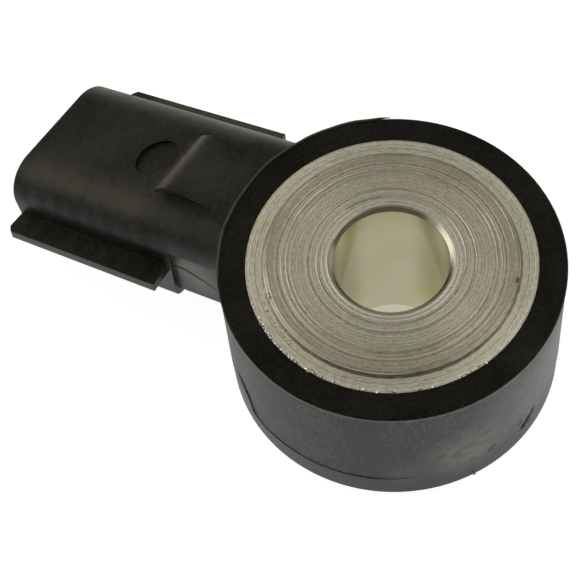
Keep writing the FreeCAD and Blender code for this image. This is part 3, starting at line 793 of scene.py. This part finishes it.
rim_spots = []
for count, inset, low, high, rise, spread, seed in RIM_RUNS:
    rim_spots += ring_spots(count, FLANGE_RADIUS / MM - inset, low, high, BURR_HEIGHT + rise,
                            spread, seed)
scatter_flakes("flange_rim_burrs", rim_spots, 0.19, torn_steel, 11)
step_spots = ring_spots(34, STEP_RADIUS, -127, -103, BURR_HEIGHT, 0.05, 5)
scatter_flakes("face_step_burrs", step_spots, 0.11, torn_steel, 12)
nub_spots = [on_drum(-28.4, 1.35), on_drum(-28.0, 1.5)]
scatter_flakes("drum_back_nubs", nub_spots, 0.14, nylon, 13)
print("flakes in all", len(rim_spots) + len(step_spots) + len(nub_spots))

# %% [markdown]
# ## The table
# The connector reaches lower than the bush, so the sensor leans on the connector's lip and on
# the far edge of the bush. The table is the plane that touches both. It is found from the
# solids' own points: from the lowest one, the flattest line that clears all the others.

# %% Lean of the table
low_points = [vertex.co for name in ("housing", "sleeve")
              for vertex in frame["nodes"][name].data.vertices]
lip = min(low_points, key=lambda point: point.z)
LEAN = min(math.atan2(point.z - lip.z, point.x - lip.x) for point in low_points if point.x > 0)
TABLE_HALF = 1.5

mesh = bpy.data.meshes.new("table")
shape = bmesh.new()
bmesh.ops.create_grid(shape, x_segments=1, y_segments=1, size=TABLE_HALF)
bmesh.ops.rotate(shape, cent=(0, 0, 0), matrix=Matrix.Rotation(-LEAN, 3, "Y"), verts=shape.verts)
bmesh.ops.translate(shape, vec=lip, verts=shape.verts)
shape.to_mesh(mesh)
shape.free()
table = bpy.data.objects.new("table", mesh)
bpy.context.scene.collection.objects.link(table)
print("lean in degrees", round(math.degrees(LEAN), 2))

# %% [markdown]
# The table is opal glass lit from below: white round the sensor and fading outwards, so that the
# upright walls, which mirror it at a flat angle, don't glare. Under the bush it is beige as a
# painted shadow of the part, because the bore of the real part mirrors something beige and not a
# lamp.

# %% Opal glass
TABLE_FADE = 0.3
GLASS, GLASS_ROUGHNESS, LAMP_STRENGTH = "#8c8c8c", 0.9, 0.95
# The beige under the bush is a painted shadow of the part on the table.
BEIGE_SHADOW = "#b8b49f"
LAMP = [(0, BEIGE_SHADOW), (5.8, BEIGE_SHADOW), (7.5, "#ffffff"), (70, "#ffffff"), (120, "#bcbcba"),
        (TABLE_FADE / MM, "#6f6e6a")]  # distance from the bore in mm

opal, tree, shader = new_material("opal_light_table")
here = add_node(tree, "ShaderNodeTexCoord").outputs["Object"]
away = add_node(tree, "ShaderNodeVectorMath", {0: here}, operation="LENGTH").outputs["Value"]
reach = add_node(tree, "ShaderNodeMath", {0: away, 1: TABLE_FADE}, operation="DIVIDE")
lamp = add_node(tree, "ShaderNodeValToRGB", {"Fac": reach}, stops=[
    (distance * MM / TABLE_FADE, code) for distance, code in LAMP
])
tree.links.new(lamp.outputs["Color"], shader.inputs["Emission Color"])
shader.inputs["Base Color"].default_value = linear(GLASS)
shader.inputs["Roughness"].default_value = GLASS_ROUGHNESS
shader.inputs["Emission Strength"].default_value = LAMP_STRENGTH
table.data.materials.append(opal)
print("table fades over mm", TABLE_FADE / MM)

# %% [markdown]
# ## Light
# Product photographs of small parts are often taken on a light table under a soft tent. The
# table shines from below, so there is hardly a shadow and the bore is bright. The tent could be
# a mesh with lamps outside it, but the world's own light does the same with no noise. It is warm
# and nearly even, dimmest a little above the horizon and brightest overhead.

# %% Light tent
world = bpy.data.worlds.new("light_tent")
bpy.context.scene.world = world
world.use_nodes = True
tent = world.node_tree
direction = add_node(tent, "ShaderNodeTexCoord").outputs["Generated"]
height = add_node(tent, "ShaderNodeSeparateXYZ", {"Vector": direction}).outputs["Z"]
glow = add_node(tent, "ShaderNodeValToRGB", {"Fac": height}, stops=[
    (0.0, "#a5a194"), (0.25, "#918d80"), (0.42, "#918d7f"), (0.7, "#a9a597"), (0.866, "#b6b3a6"),
    (1.0, "#bbb8ab"),
])
print("tent stops", len(glow.color_ramp.elements))

# %% [markdown]
# A tent is not the same all round. A broad dark cloth low on the near side keeps light off the
# near walls, and two small bright panels, one behind the connector and one higher on the right,
# give sheen to its roof and to the chamfer. Area lamps could do this too, but the steel would
# mirror their hard edges, so the tent's own light is changed by direction.

# %% Panels of the tent
# degrees round, degrees up, full within, gone beyond, share of light added or taken
TENT_PANELS = [(-35, -10, 78, 90, -0.75), (-163, 26, 12, 34, 3.0), (25, 52, 10, 26, 4.2)]


def towards(azimuth, elevation):
    """Direction in the model's frame, from degrees round and above the horizon."""
    turn, rise = math.radians(azimuth), math.radians(elevation)
    return (math.cos(turn) * math.cos(rise), math.sin(turn) * math.cos(rise), math.sin(rise))


light = glow
for azimuth, elevation, full_angle, faded_angle, gain in TENT_PANELS:
    facing = add_node(tent, "ShaderNodeVectorMath", {0: direction, 1: towards(azimuth, elevation)},
                      operation="DOT_PRODUCT").outputs["Value"]
    lift = add_node(tent, "ShaderNodeMapRange", {
        "Value": facing, "From Min": math.cos(math.radians(faded_angle)),
        "From Max": math.cos(math.radians(full_angle)), "To Min": 1.0, "To Max": 1.0 + gain,
    }, interpolation_type="SMOOTHSTEP")
    light = add_node(tent, "ShaderNodeVectorMath", {0: light, "Scale": lift}, operation="SCALE")
tent.links.new(light.outputs[0], tent.nodes["Background"].inputs["Color"])
tent.nodes["Background"].inputs["Strength"].default_value = 1.0
bpy.context.scene.view_settings.view_transform = "Standard"
print("tent panels", len(TENT_PANELS))

# %% Import json again
import json
